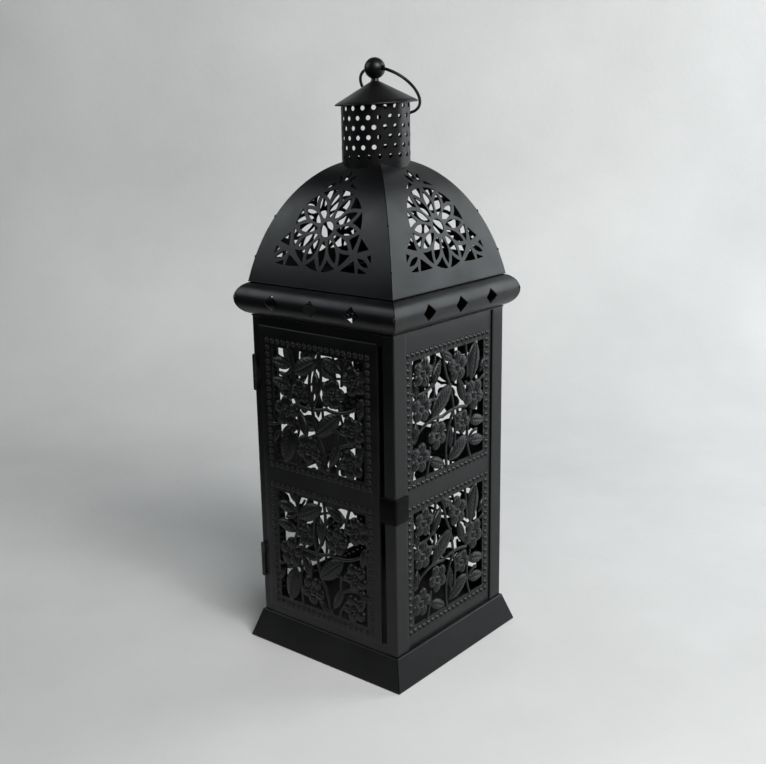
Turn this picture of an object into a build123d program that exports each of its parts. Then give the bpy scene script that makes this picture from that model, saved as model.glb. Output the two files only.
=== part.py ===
from build123d import *
import os
from math import acos, asin, cos, degrees, radians, sin

os.makedirs("parts", exist_ok=True)

# ---------------------------------------------------------------- driving sizes, in millimetres
TOTAL_HEIGHT = 400.0        # floor to the top of the finial ball
BASE_HALF = 68.3            # half width of the flared base at the floor
BODY_HALF = 60.5            # half width over the corner posts
SHEET = 0.8                 # sheet metal of the panels, rolls and dome
PLATE = 1.0                 # heavier strip: posts, door, cap

# heights of the stack of parts
BASE_TOP = 20.5
BODY_TOP = 235.0
CORNICE_RADIUS = 11.0
CORNICE_BOTTOM = BODY_TOP + PLATE
CORNICE_TOP = CORNICE_BOTTOM + 2 * CORNICE_RADIUS
DOME_BASE = CORNICE_TOP + SHEET
BALL_RADIUS = 6.8
BALL_Z = TOTAL_HEIGHT - BALL_RADIUS

# base
BASE_TOP_HALF = BODY_HALF + 1.1
BASE_HEM = 6.0              # width of the hem folded in under the skirt
BASE_LIP_HALF = 54.0        # inner edge of the lip folded in at the top of the skirt

# corner posts
SIDE_LEG = 13.0
FRONT_LEG = 8.5

# plates under and over the cornice
FRAME_OPENING_HALF = 48.0
TOP_FRAME_HALF = BODY_HALF + 0.2
CROWN_FRAME_HALF = 61.6

# cornice
CORNICE_AXIS_HALF = 57.9
CORNICE_FLANGE_HALF = 50.0
DIAMOND_WIDTH = 12.8
DIAMOND_HEIGHT = 11.0
DIAMOND_PITCH = 34.0

# dome: the wall follows an ellipse in section
DOME_ELLIPSE_W = 3.9
DOME_ELLIPSE_Z = 214.6
DOME_ELLIPSE_A = 61.75
DOME_ELLIPSE_B = 122.3
DOME_TOP_HALF = 14.0

# dome piercing: measured across, and up the outer surface from the dome's foot
ROSETTE_UP = 38.5
ROSETTE_RADIUS = 27.6
ROSETTE_POINTS = 12
ROSETTE_EYE = 5.2           # radius of the round hole in the middle
RIM_HOLE_INNER = 20.0
RIM_HOLE_SPREAD = 12.8
RIM_HOLE_BOW = 0.5          # how far the rim holes' inner edges bow inwards
PETAL_START = 7.4
PETAL_END = 24.8
PETAL_WIDTH = 6.0
# holes between the rosette and the panel's corners, mirrored left and right
CORNER_HOLES = (
    ((29.8, 34.8), (37.5, 28.0), (28.6, 25.3)),
    ((36.6, 23.4), (39.8, 25.2), (41.5, 19.2)),
    ((31.6, 16.2), (39.3, 13.4), (31.6, 12.6)),
    ((16.8, 13.0), (27.3, 20.5), (29.8, 12.6)),
    ((14.5, 66.3), (7.4, 71.2), (5.8, 68.6)),
)
FAN_LEAVES = (
    ((29.3, 21.8), (39.5, 17.0), 3.6),
    ((2.4, 70.6), (6.6, 77.6), 3.0),
)
TOP_LEAF = (72.0, 82.0, 3.4)
DOME_CHIMNEY_GAP = 0.02

# tack welds
HIP_WELDS_UP = (16.0, 44.0)
HIP_WELD_RADIUS = 0.9
CORNICE_WELD_RADIUS = 1.3
CORNICE_WELD_RAISE = 1.0    # above the middle of the roll
CORNICE_WELD_SINK = 0.8     # in from the mitre's edge

# chimney and cap
CHIMNEY_RADIUS = 22.4
CHIMNEY_BOTTOM = 328.5
CHIMNEY_OPENING = (125.0, 215.0)    # bearings of the two sides of the opening, in degrees
CHIMNEY_OPENING_FOOT = 340.5        # the strip closes only below this height
CHIMNEY_ROWS = 6
CHIMNEY_HOLE_STEP = 18.6            # degrees from hole to hole in a row
CHIMNEY_HOLE_RADIUS = 1.5
CHIMNEY_FIRST_HOLE = -137.3         # bearing of the first hole of the lowest row
CHIMNEY_FIRST_ROW = 338.7
CHIMNEY_ROW_PITCH = 6.1
CHIMNEY_HOLE_MARGIN = 6.0           # degrees left whole beside each end
CAP_RADIUS = 27.0
CAP_RIM_Z = 372.0
CAP_TIP_Z = 386.6
NECK_RADIUS = 2.5

# hanging ring
RING_RADIUS = 21.4
RING_WIRE = 1.0             # radius of the wire
RING_LEAN = 43.0            # degrees the ring hangs below level, towards the back
RING_BOW = 0.55             # bow of the wire inside the ball, shared about the hole's axis
RING_HOLE = 1.65

# windows with the flower relief
WINDOW_HALF = 39.5
BEAD_HALF = 43.4
BEAD_RADIUS = 1.3
BEADS_PER_SIDE = 18
WINDOW_Z = (75.4, 176.8)
SIDE_WINDOW_X = -1.0
RELIEF = 0.6

# door, sill and header
DOOR_LEFT = -54.0
DOOR_RIGHT = 48.5
DOOR_BOTTOM = 26.8
DOOR_TOP = 229.6
DOOR_GAP = 0.1              # between the back of the door and the posts
DOOR_WINDOW_X = (DOOR_LEFT + DOOR_RIGHT) / 2
DOOR_BACK = BODY_HALF + DOOR_GAP
DOOR_FACE = DOOR_BACK + PLATE
SILL_TOP = 28.0
HEADER_BOTTOM = 228.5
FRAME_OPENING_X = BODY_HALF - FRONT_LEG
LATCH_BOTTOM = 113.3
LATCH_TOP = 130.0
LATCH_RETURN = 13.0
LATCH_BEND = 0.9            # outer radius where the strap folds round the post
LATCH_CLEARANCE = 0.15

# hinges
HINGE_X = -58.4
HINGE_Y = -62.0
BARREL_RADIUS = 1.5
PIN_RADIUS = 0.6
DOOR_BORE = 0.65
FRAME_BORE = 0.62
HINGE_HEIGHT = 24.0
KNUCKLE_GAP = 0.1
LEAF = 0.5
HINGE_Z = {"lower": 60.0, "upper": 196.4}
PIN_HEAD_RADIUS = 1.0
PIN_HEAD = 0.6

SIDES = ("front", "right", "back", "left")


def save(part, name):
    """Name one sub-part and write its file."""
    part.label = name
    export_step(part, f"parts/{name}.step")


def quarter_turns(part, stem):
    """Write one sub-part for each side, turned about the lantern's axis."""
    for step, side in enumerate(SIDES):
        with BuildPart() as turned:
            with Locations(Location((0, 0, 0), (0, 0, 90 * step))):
                add(part)
        save(turned.part, f"{stem}_{side}")


def mitre_wedge():
    """Triangular prism over the front quarter of the plan: its two slopes are the mitres."""
    reach = 1.5 * BASE_HALF
    with BuildPart() as wedge:
        with BuildSketch():
            with BuildLine():
                Polyline((0, 0), (-reach, -reach), (reach, -reach), close=True)
            make_face()
        extrude(amount=TOTAL_HEIGHT)
    return wedge.part


# ---------------------------------------------------------------- flared base
def base_strip(wedge):
    """One side of the skirt: bottom hem, sloping wall and top lip in one folded strip."""
    slope = (BASE_HALF - BASE_TOP_HALF) / BASE_TOP
    inner_low = BASE_HALF - slope * SHEET - SHEET
    inner_high = BASE_TOP_HALF + slope * SHEET - SHEET
    with BuildPart() as strip:
        with BuildSketch(Plane.YZ):
            with BuildLine():
                Polyline(
                    (-BASE_HALF, 0),
                    (-BASE_TOP_HALF, BASE_TOP),
                    (-BASE_LIP_HALF, BASE_TOP),
                    (-BASE_LIP_HALF, BASE_TOP - SHEET),
                    (-inner_high, BASE_TOP - SHEET),
                    (-inner_low, SHEET),
                    (-(BASE_HALF - BASE_HEM), SHEET),
                    (-(BASE_HALF - BASE_HEM), 0),
                    close=True,
                )
            make_face()
        extrude(amount=BASE_HALF, both=True)
        add(wedge, mode=Mode.INTERSECT)
    return strip.part


def floor_plate():
    """Square plate the candle stands on, resting on the skirt's lip."""
    side = 2 * (BODY_HALF - PLATE - SHEET - DOOR_GAP)
    with BuildPart() as plate:
        with BuildSketch(Plane.XY.offset(BASE_TOP)):
            Rectangle(side, side)
        extrude(amount=SHEET)
    return plate.part


# ---------------------------------------------------------------- corner posts
def corner_post(side_x, side_y, leg_x):
    """L-angle post with its outer corner at (side_x, side_y) times the body's half width."""
    with BuildPart() as post:
        with BuildSketch(Plane.XY.offset(BASE_TOP)):
            with Locations((side_x * BODY_HALF, side_y * BODY_HALF)):
                Rectangle(leg_x, PLATE, align=(corner_align(side_x), corner_align(side_y)))
                Rectangle(PLATE, SIDE_LEG, align=(corner_align(side_x), corner_align(side_y)))
        extrude(amount=BODY_TOP - BASE_TOP)
    return post.part


def corner_align(side):
    """Rectangles grow from the corner towards the inside of the body."""
    return Align.MAX if side > 0 else Align.MIN


# ---------------------------------------------------------------- the flower relief
def leaf_face(length, width):
    """Pointed leaf along local X, its two edges circular arcs."""
    half = length / 2
    with BuildSketch() as leaf:
        with BuildLine():
            ThreePointArc((-half, 0), (0, width / 2), (half, 0))
            ThreePointArc((half, 0), (0, -width / 2), (-half, 0))
        make_face()
    return leaf.sketch


# flowers as (x, z, outer radius, turn of the first petal)
FLOWERS = (
    (9.0, 26.5, 10.5, 20.0),
    (28.0, 3.5, 11.0, 50.0),
    (-30.0, 7.0, 10.0, 10.0),
    (-28.5, 30.0, 10.0, 75.0),
    (-13.5, -15.0, 10.0, 40.0),
    (-32.0, -26.0, 10.0, 0.0),
    (14.0, -12.5, 8.5, 62.0),
)
# leaves as (x, z, length, width, turn)
LEAVES = (
    (27.5, 27.0, 27.0, 13.5, 78.0),
    (-8.5, 7.0, 29.0, 12.5, 40.0),
    (10.0, -30.0, 25.0, 12.0, 28.0),
    (31.5, -15.5, 19.0, 8.5, -12.0),
    (13.5, 9.5, 19.0, 7.5, 112.0),
    (-14.5, 26.5, 20.0, 7.5, 62.0),
    (-3.0, 36.0, 15.0, 6.5, -28.0),
    (31.0, -29.5, 18.0, 8.5, -8.0),
    (-14.0, -34.0, 19.0, 8.0, -24.0),
    (-37.0, -8.5, 15.0, 6.0, 82.0),
    (-36.5, 20.0, 12.0, 5.0, 100.0),
    (37.5, 22.5, 12.0, 4.5, 60.0),
    (0.6, -19.5, 17.0, 6.0, 92.0),
)
# stems as three points of an arc
STEMS = (
    ((24.0, -40.0), (20.0, -25.0), (24.0, -8.0)),
    ((22.0, -27.0), (26.0, -23.0), (31.0, -22.0)),
    ((-3.0, -40.0), (-3.5, -20.0), (4.0, -3.0)),
    ((4.0, -3.0), (2.0, 10.0), (-3.0, 22.0)),
    ((-3.0, 22.0), (-6.0, 31.0), (-7.0, 40.0)),
    ((-40.0, -14.0), (-25.0, -4.5), (-8.0, -4.0)),
    ((-8.0, -4.0), (6.0, -1.5), (19.0, -3.0)),
    ((-40.0, 18.0), (-30.0, 16.5), (-17.5, 21.0)),
    ((18.0, 14.0), (22.0, 11.0), (30.0, 12.0)),
    ((18.0, 40.0), (19.0, 30.0), (20.0, 18.0)),
    ((-22.0, -22.0), (-23.0, -30.0), (-26.0, -40.0)),
    ((4.0, -3.0), (6.0, -20.0), (3.0, -33.0)),
    ((-16.0, 40.0), (-17.0, 34.0), (-20.0, 30.0)),
    ((34.0, 12.0), (37.0, 13.6), (40.0, 14.0)),
    ((-24.0, 10.5), (-19.0, 10.0), (-13.0, 9.0)),
    ((-18.5, 10.0), (-17.0, 15.0), (-18.0, 20.5)),
)
STEM_WIDTH = 2.0
PETALS = 5
PETAL_REACH = 0.6           # petal centres out from the flower's centre, of its radius
PETAL_SIZE = 0.42
EYE_SIZE = 0.26
CORE = 0.62                 # the raised middle of a leaf, of its outline


def petal_spots(flower):
    """Centres of one flower's petals."""
    x, z, radius, turn = flower
    reach = PETAL_REACH * radius
    angles = (radians(turn + 360 / PETALS * k) for k in range(PETALS))
    return [(x + reach * cos(a), z + reach * sin(a)) for a in angles]


def vine_outline():
    """Everything solid inside a window: petals, leaves and stems, trimmed to the window."""
    with BuildSketch() as vine:
        for flower in FLOWERS:
            with Locations(*petal_spots(flower)):
                Circle(PETAL_SIZE * flower[2])
            with Locations(flower[:2]):
                Circle(PETAL_SIZE * flower[2])
        for x, z, length, width, turn in LEAVES:
            with Locations(Location((x, z, 0), (0, 0, turn))):
                add(leaf_face(length, width))
        for start, middle, end in STEMS:
            SlotArc(ThreePointArc(start, middle, end), STEM_WIDTH)
        Rectangle(2 * WINDOW_HALF + SHEET, 2 * WINDOW_HALF + SHEET, mode=Mode.INTERSECT)
    return vine.sketch


def vine_relief():
    """The raised middles of the leaves and the flowers' eyes and petals."""
    with BuildSketch() as relief:
        for flower in FLOWERS:
            with Locations(flower[:2]):
                Circle(EYE_SIZE * flower[2])
            with Locations(*petal_spots(flower)):
                Circle(EYE_SIZE * flower[2])
        for x, z, length, width, turn in LEAVES:
            with Locations(Location((x, z, 0), (0, 0, turn))):
                add(leaf_face(CORE * length, CORE * width))
        Rectangle(2 * WINDOW_HALF, 2 * WINDOW_HALF, mode=Mode.INTERSECT)
    return relief.sketch


def bead_spots():
    """Bead centres round the square frame of one window, each corner counted once."""
    pitch = 2 * BEAD_HALF / BEADS_PER_SIDE
    spots = []
    for k in range(BEADS_PER_SIDE):
        along = -BEAD_HALF + k * pitch
        spots.append((along, -BEAD_HALF))
        spots.append((BEAD_HALF, along))
        spots.append((-along, BEAD_HALF))
        spots.append((-BEAD_HALF, -along))
    return spots


def relief_sheet(left, right, bottom, top, back, thickness, window_x, turn):
    """Upright sheet facing the front, with two pierced flower windows in bead frames."""
    windows = [Location((window_x, z, 0), (0, 0, turn)) for z in WINDOW_Z]
    face = back + thickness
    with BuildPart() as sheet:
        with BuildSketch(Plane.XZ.offset(back)):
            with Locations(((left + right) / 2, (bottom + top) / 2)):
                Rectangle(right - left, top - bottom)
            with Locations(*windows):
                Rectangle(2 * WINDOW_HALF, 2 * WINDOW_HALF, mode=Mode.SUBTRACT)
                add(VINE)
        extrude(amount=thickness)
        with BuildSketch(Plane.XZ.offset(face)):
            with Locations(*windows):
                add(RELIEF_FACES)
        extrude(amount=RELIEF)
        with Locations(Plane.XZ.offset(face)):
            with Locations(*windows):
                with Locations(*bead_spots()):
                    Sphere(BEAD_RADIUS, arc_size1=0)
    return sheet.part


# ---------------------------------------------------------------- front frame strips
def front_strip(bottom, top):
    """Strip between the two front posts, under or over the door."""
    with BuildPart() as strip:
        with BuildSketch(Plane.XZ.offset(BODY_HALF - SHEET)):
            with Locations((0, (bottom + top) / 2)):
                Rectangle(2 * FRAME_OPENING_X, top - bottom)
        extrude(amount=SHEET)
    return strip.part


# ---------------------------------------------------------------- latch strap
def latch_strap():
    """Strap from the door's edge, across the front post and back along the right side."""
    inner_x = BODY_HALF + LATCH_CLEARANCE
    outer_x = inner_x + PLATE
    return_end = -BODY_HALF + LATCH_RETURN
    with BuildPart() as strap:
        with BuildSketch(Plane.XY.offset(LATCH_BOTTOM)):
            with BuildLine():
                Polyline(
                    (DOOR_RIGHT, -DOOR_BACK),
                    (inner_x, -DOOR_BACK),
                    (inner_x, return_end),
                    (outer_x, return_end),
                    (outer_x, -DOOR_FACE),
                    (DOOR_RIGHT, -DOOR_FACE),
                    close=True,
                )
            make_face()
        extrude(amount=LATCH_TOP - LATCH_BOTTOM)
        fillet(strap.edges().filter_by(Axis.Z).sort_by_distance((outer_x, -DOOR_FACE, 0))[0], LATCH_BEND)
    return strap.part


# ---------------------------------------------------------------- hinges
def knuckle(bottom, height, bore, leaf_end, leaf_back, leaf_front):
    """Barrel piece with its leaf running towards the door's edge."""
    with BuildPart() as piece:
        with BuildSketch(Plane.XY.offset(bottom)):
            with Locations((HINGE_X, HINGE_Y)):
                Circle(BARREL_RADIUS)
            with Locations((HINGE_X, (leaf_back + leaf_front) / 2)):
                Rectangle(leaf_end - HINGE_X, leaf_back - leaf_front, align=(Align.MIN, Align.CENTER))
            with Locations((HINGE_X, HINGE_Y)):
                Circle(bore, mode=Mode.SUBTRACT)
        extrude(amount=height)
    return piece.part


def hinge(name, centre_z):
    """Frame knuckles, door knuckle and pin of one hinge."""
    third = HINGE_HEIGHT / 3
    low = centre_z - HINGE_HEIGHT / 2
    frame_leaf = (DOOR_LEFT - DOOR_BORE, -BODY_HALF, -BODY_HALF - LEAF)
    door_leaf = (DOOR_LEFT, -DOOR_BACK - DOOR_GAP, -DOOR_FACE + 2 * DOOR_GAP)
    with BuildPart() as frame_knuckles:
        add(knuckle(low, third - KNUCKLE_GAP, FRAME_BORE, *frame_leaf))
        add(knuckle(low + 2 * third + KNUCKLE_GAP, third - KNUCKLE_GAP, FRAME_BORE, *frame_leaf))
    save(frame_knuckles.part, f"hinge_{name}_frame_knuckles")
    save(knuckle(low + third, third, DOOR_BORE, *door_leaf), f"hinge_{name}_door_leaf")
    with BuildPart() as pin:
        with Locations((HINGE_X, HINGE_Y, low)):
            Cylinder(PIN_RADIUS, HINGE_HEIGHT, align=(Align.CENTER, Align.CENTER, Align.MIN))
            Cylinder(PIN_HEAD_RADIUS, PIN_HEAD, align=(Align.CENTER, Align.CENTER, Align.MAX))
        with Locations((HINGE_X, HINGE_Y, low + HINGE_HEIGHT)):
            Cylinder(PIN_HEAD_RADIUS, PIN_HEAD, align=(Align.CENTER, Align.CENTER, Align.MIN))
    save(pin.part, f"hinge_{name}_pin")


# ---------------------------------------------------------------- cornice and its plates
def square_frame(half, bottom, thickness):
    """Flat square plate with a square opening."""
    with BuildPart() as frame:
        with BuildSketch(Plane.XY.offset(bottom)):
            Rectangle(2 * half, 2 * half)
            Rectangle(2 * FRAME_OPENING_HALF, 2 * FRAME_OPENING_HALF, mode=Mode.SUBTRACT)
        extrude(amount=thickness)
    return frame.part


def cornice_strip(wedge):
    """One side of the half-round roll with its two flanges and three diamond cut-outs."""
    centre = (-CORNICE_AXIS_HALF, CORNICE_BOTTOM + CORNICE_RADIUS)
    inner = CORNICE_RADIUS - SHEET
    edge = -CORNICE_FLANGE_HALF
    with BuildPart() as strip:
        with BuildSketch(Plane.YZ):
            with BuildLine():
                ThreePointArc(
                    (centre[0], CORNICE_BOTTOM),
                    (centre[0] - CORNICE_RADIUS, centre[1]),
                    (centre[0], CORNICE_TOP),
                )
                Polyline(
                    (centre[0], CORNICE_TOP),
                    (edge, CORNICE_TOP),
                    (edge, CORNICE_TOP - SHEET),
                    (centre[0], CORNICE_TOP - SHEET),
                )
                ThreePointArc(
                    (centre[0], CORNICE_TOP - SHEET),
                    (centre[0] - inner, centre[1]),
                    (centre[0], CORNICE_BOTTOM + SHEET),
                )
                Polyline(
                    (centre[0], CORNICE_BOTTOM + SHEET),
                    (edge, CORNICE_BOTTOM + SHEET),
                    (edge, CORNICE_BOTTOM),
                    (centre[0], CORNICE_BOTTOM),
                )
            make_face()
        extrude(amount=CORNICE_AXIS_HALF + CORNICE_RADIUS, both=True)
        add(wedge, mode=Mode.INTERSECT)
        with BuildSketch(Plane.XZ.offset(CORNICE_AXIS_HALF)):
            with Locations(*[(k * DIAMOND_PITCH, centre[1]) for k in (-1, 0, 1)]):
                Polygon(
                    (-DIAMOND_WIDTH / 2, 0),
                    (0, -DIAMOND_HEIGHT / 2),
                    (DIAMOND_WIDTH / 2, 0),
                    (0, DIAMOND_HEIGHT / 2),
                    align=None,
                )
        extrude(amount=2 * CORNICE_RADIUS, mode=Mode.SUBTRACT)
    return strip.part


# ---------------------------------------------------------------- dome
def dome_arc(inset):
    """Elliptical section of the dome's wall, from its foot to its top, on the front side."""
    a = DOME_ELLIPSE_A - inset
    b = DOME_ELLIPSE_B - inset
    foot = degrees(asin((DOME_BASE - DOME_ELLIPSE_Z) / b))
    top = degrees(acos((DOME_TOP_HALF - DOME_ELLIPSE_W) / a))
    centre = (-DOME_ELLIPSE_W, DOME_ELLIPSE_Z)
    return EllipticalCenterArc(centre, a, b, start_angle=180 - foot, arc_size=foot - top)


def wall_point(across, up):
    """Front-view place of a point measured up the dome's outer surface from its foot."""
    return across, DOME_SECTION.position_at(up, PositionMode.LENGTH).Y


def rosette_point(radius, angle):
    """Front-view place of a point given about the middle of the dome panel's rosette."""
    across = radius * cos(radians(angle))
    return wall_point(across, ROSETTE_UP + radius * sin(radians(angle)))


def corner_hole(*places):
    """Straight-sided hole."""
    with BuildSketch() as hole:
        with BuildLine():
            Polyline(*places, close=True)
        make_face()
    return hole.sketch


def leaf_hole(start, end, width):
    """Pointed hole between two places, its edges bowed out by half the width."""
    middle = ((start[0] + end[0]) / 2, (start[1] + end[1]) / 2)
    run = (end[0] - start[0], end[1] - start[1])
    bow = width / 2 / (run[0] ** 2 + run[1] ** 2) ** 0.5
    first = (middle[0] - run[1] * bow, middle[1] + run[0] * bow)
    second = (middle[0] + run[1] * bow, middle[1] - run[0] * bow)
    with BuildSketch() as hole:
        with BuildLine():
            ThreePointArc(start, first, end)
            ThreePointArc(end, second, start)
        make_face()
    return hole.sketch


def bowed(start, end, bow):
    """Arc between two places, its middle this far to the left of the straight line."""
    run = (end[0] - start[0], end[1] - start[1])
    share = bow / (run[0] ** 2 + run[1] ** 2) ** 0.5
    middle = ((start[0] + end[0]) / 2 - run[1] * share, (start[1] + end[1]) / 2 + run[0] * share)
    return ThreePointArc(start, middle, end)


def rim_hole(angle):
    """Hole between the rosette's ring and the outer ends of two petals, with three curved edges."""
    first = rosette_point(ROSETTE_RADIUS, angle - RIM_HOLE_SPREAD)
    last = rosette_point(ROSETTE_RADIUS, angle + RIM_HOLE_SPREAD)
    tip = rosette_point(RIM_HOLE_INNER, angle)
    with BuildSketch() as hole:
        with BuildLine():
            ThreePointArc(first, rosette_point(ROSETTE_RADIUS, angle), last)
            bowed(last, tip, RIM_HOLE_BOW)
            bowed(tip, first, RIM_HOLE_BOW)
        make_face()
    return hole.sketch


def dome_piercing():
    """Front view of every hole in one dome panel."""
    step = 360 / ROSETTE_POINTS
    eye = [rosette_point(ROSETTE_EYE, angle) for angle in (180, 90, 0, 270)]
    with BuildSketch() as holes:
        with BuildLine():
            ThreePointArc(*eye[:3])
            ThreePointArc(eye[2], eye[3], eye[0])
        make_face()
        for k in range(ROSETTE_POINTS):
            point = k * step
            add(rim_hole(point + step / 2))
            inner_end = rosette_point(PETAL_START, point)
            outer_end = rosette_point(PETAL_END, point)
            add(leaf_hole(inner_end, outer_end, PETAL_WIDTH))
        for side in (-1, 1):
            for corners in CORNER_HOLES:
                add(corner_hole(*[wall_point(side * across, up) for across, up in corners]))
            for start, end, width in FAN_LEAVES:
                first = wall_point(side * start[0], start[1])
                last = wall_point(side * end[0], end[1])
                add(leaf_hole(first, last, width))
        add(leaf_hole(wall_point(0, TOP_LEAF[0]), wall_point(0, TOP_LEAF[1]), TOP_LEAF[2]))
    return holes.sketch


def dome_panel(wedge):
    """One curved side of the dome, mitred to its neighbours and cut round the chimney."""
    with BuildPart() as panel:
        with BuildSketch(Plane.YZ):
            with BuildLine():
                outer = dome_arc(0)
                inner = dome_arc(SHEET)
                Line(outer @ 0, inner @ 0)
                Line(outer @ 1, inner @ 1)
            make_face()
        extrude(amount=BODY_HALF + 2 * PLATE, both=True)
        add(wedge, mode=Mode.INTERSECT)
        with Locations((0, 0, CHIMNEY_BOTTOM)):
            Cylinder(
                CHIMNEY_RADIUS + DOME_CHIMNEY_GAP,
                TOTAL_HEIGHT - CHIMNEY_BOTTOM,
                align=(Align.CENTER, Align.CENTER, Align.MIN),
                mode=Mode.SUBTRACT,
            )
        with BuildSketch(Plane.XZ.offset(CHIMNEY_RADIUS / 4)):
            add(dome_piercing())
        extrude(amount=BASE_HALF, mode=Mode.SUBTRACT)
    return panel.part


def tack_welds():
    """Small beads of weld on the dome's hips and the cornice's mitres."""
    with BuildPart() as welds:
        for k in range(len(SIDES)):
            turn = radians(90 * k - 45)
            corner = (cos(turn) * 2**0.5, sin(turn) * 2**0.5)
            for up in HIP_WELDS_UP:
                place = DOME_SECTION.position_at(up, PositionMode.LENGTH)
                with Locations((corner[0] * -place.X, corner[1] * -place.X, place.Y)):
                    Sphere(HIP_WELD_RADIUS)
            edge = CORNICE_AXIS_HALF + (CORNICE_RADIUS**2 - CORNICE_WELD_RAISE**2) ** 0.5
            reach = edge - CORNICE_WELD_SINK
            height = CORNICE_BOTTOM + CORNICE_RADIUS + CORNICE_WELD_RAISE
            with Locations((corner[0] * reach, corner[1] * reach, height)):
                Sphere(CORNICE_WELD_RADIUS)
    return welds.part


# ---------------------------------------------------------------- chimney, cap, ball and ring
def cap_z(radius):
    """Height of the cap's outer surface."""
    return CAP_TIP_Z - (CAP_TIP_Z - CAP_RIM_Z) * radius / CAP_RADIUS


def chimney_holes():
    """Bearing and height of every hole in the chimney, row by row."""
    opening_start, opening_end = CHIMNEY_OPENING
    spots = []
    for row in range(CHIMNEY_ROWS):
        height = CHIMNEY_FIRST_ROW + row * CHIMNEY_ROW_PITCH
        for k in range(int(360 / CHIMNEY_HOLE_STEP)):
            bearing = CHIMNEY_FIRST_HOLE + (k + row % 2 / 2) * CHIMNEY_HOLE_STEP
            before = bearing < opening_start - CHIMNEY_HOLE_MARGIN
            after = bearing > opening_end + CHIMNEY_HOLE_MARGIN
            if row == 0 or before or after:
                spots.append((bearing, height))
    return spots


def chimney():
    """Rolled strip with staggered rows of round holes and a tall opening on one side."""
    inner = CHIMNEY_RADIUS - SHEET
    first, last = CHIMNEY_OPENING
    opening = (last - first) / 2
    reach = 2 * CHIMNEY_RADIUS
    with BuildPart() as tube:
        with BuildSketch(Plane.XZ):
            with BuildLine():
                Polyline(
                    (inner, CHIMNEY_BOTTOM),
                    (CHIMNEY_RADIUS, CHIMNEY_BOTTOM),
                    (CHIMNEY_RADIUS, cap_z(CHIMNEY_RADIUS) - PLATE),
                    (inner, cap_z(inner) - PLATE),
                    close=True,
                )
            make_face()
        revolve(axis=Axis.Z)
        with BuildSketch(Plane.XY.offset(CHIMNEY_OPENING_FOOT)):
            with Locations(Location((0, 0, 0), (0, 0, (first + last) / 2))):
                Polygon(
                    (0, 0),
                    (reach * cos(radians(opening)), -reach * sin(radians(opening))),
                    (reach * cos(radians(opening)), reach * sin(radians(opening))),
                    align=None,
                )
        extrude(amount=TOTAL_HEIGHT - CHIMNEY_BOTTOM, mode=Mode.SUBTRACT)
        for bearing, height in chimney_holes():
            with Locations(Location((0, 0, height), (0, 0, bearing))):
                with Locations(Location((CHIMNEY_RADIUS, 0, 0), (0, 90, 0))):
                    Cylinder(CHIMNEY_HOLE_RADIUS, 4 * SHEET, mode=Mode.SUBTRACT)
    return tube.part


def cone_cap():
    """Shallow cone with a small flat at its tip."""
    with BuildPart() as cap:
        with BuildSketch(Plane.XZ):
            with BuildLine():
                Polyline(
                    (0, cap_z(NECK_RADIUS)),
                    (NECK_RADIUS, cap_z(NECK_RADIUS)),
                    (CAP_RADIUS, CAP_RIM_Z),
                    (CAP_RADIUS, CAP_RIM_Z - PLATE),
                    (NECK_RADIUS, cap_z(NECK_RADIUS) - PLATE),
                    (0, cap_z(NECK_RADIUS) - PLATE),
                    close=True,
                )
            make_face()
        revolve(axis=Axis.Z)
    return cap.part


def finial_ball():
    """Ball on a short neck, with a cross hole for the ring."""
    neck_foot = cap_z(NECK_RADIUS)
    with BuildPart() as ball:
        with Locations((0, 0, BALL_Z)):
            Sphere(BALL_RADIUS)
        with Locations((0, 0, neck_foot)):
            Cylinder(NECK_RADIUS, BALL_Z - neck_foot, align=(Align.CENTER, Align.CENTER, Align.MIN))
        with Locations(Location((0, 0, BALL_Z), (0, 90, 0))):
            Cylinder(RING_HOLE, 3 * BALL_RADIUS, mode=Mode.SUBTRACT)
    return ball.part


def hanging_ring():
    """Round wire ring through the ball, leaning down behind the cap."""
    lean = radians(RING_LEAN)
    reach = RING_RADIUS - RING_BOW
    plane = Plane(
        origin=(0, reach * cos(lean), BALL_Z - reach * sin(lean)),
        x_dir=(1, 0, 0),
        z_dir=(0, sin(lean), cos(lean)),
    )
    with BuildPart() as ring:
        with Locations(plane):
            Torus(RING_RADIUS, RING_WIRE)
    return ring.part


# ---------------------------------------------------------------- shapes shared by several parts
VINE = vine_outline()
RELIEF_FACES = vine_relief()
DOME_SECTION = dome_arc(0)
WEDGE = mitre_wedge()

# ---------------------------------------------------------------- build and save every part
quarter_turns(base_strip(WEDGE), "base")
save(floor_plate(), "floor_plate")
save(corner_post(-1, -1, FRONT_LEG), "post_front_left")
save(corner_post(1, -1, FRONT_LEG), "post_front_right")
save(corner_post(1, 1, SIDE_LEG), "post_back_right")
save(corner_post(-1, 1, SIDE_LEG), "post_back_left")

panel_face = BODY_HALF - PLATE
side_half = panel_face - DOOR_GAP
back_half = panel_face - SHEET - DOOR_GAP
panel_back = panel_face - SHEET
side_panel = relief_sheet(
    -side_half, side_half, BASE_TOP, BODY_TOP, panel_back, SHEET, SIDE_WINDOW_X, 0
)
back_panel = relief_sheet(
    -back_half, back_half, BASE_TOP, BODY_TOP, panel_back, SHEET, SIDE_WINDOW_X, 0
)
for panel_name, shape, turn in (
    ("panel_right", side_panel, 90),
    ("panel_back", back_panel, 180),
    ("panel_left", side_panel, 270),
):
    with BuildPart() as placed:
        with Locations(Location((0, 0, 0), (0, 0, turn))):
            add(shape)
    save(placed.part, panel_name)

save(front_strip(BASE_TOP, SILL_TOP), "front_sill")
save(front_strip(HEADER_BOTTOM, BODY_TOP), "front_header")
door_panel = relief_sheet(
    DOOR_LEFT, DOOR_RIGHT, DOOR_BOTTOM, DOOR_TOP, DOOR_BACK, PLATE, DOOR_WINDOW_X, 180
)
save(door_panel, "door_panel")
save(latch_strap(), "latch_strap")
for hinge_name, hinge_height in HINGE_Z.items():
    hinge(hinge_name, hinge_height)

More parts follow.
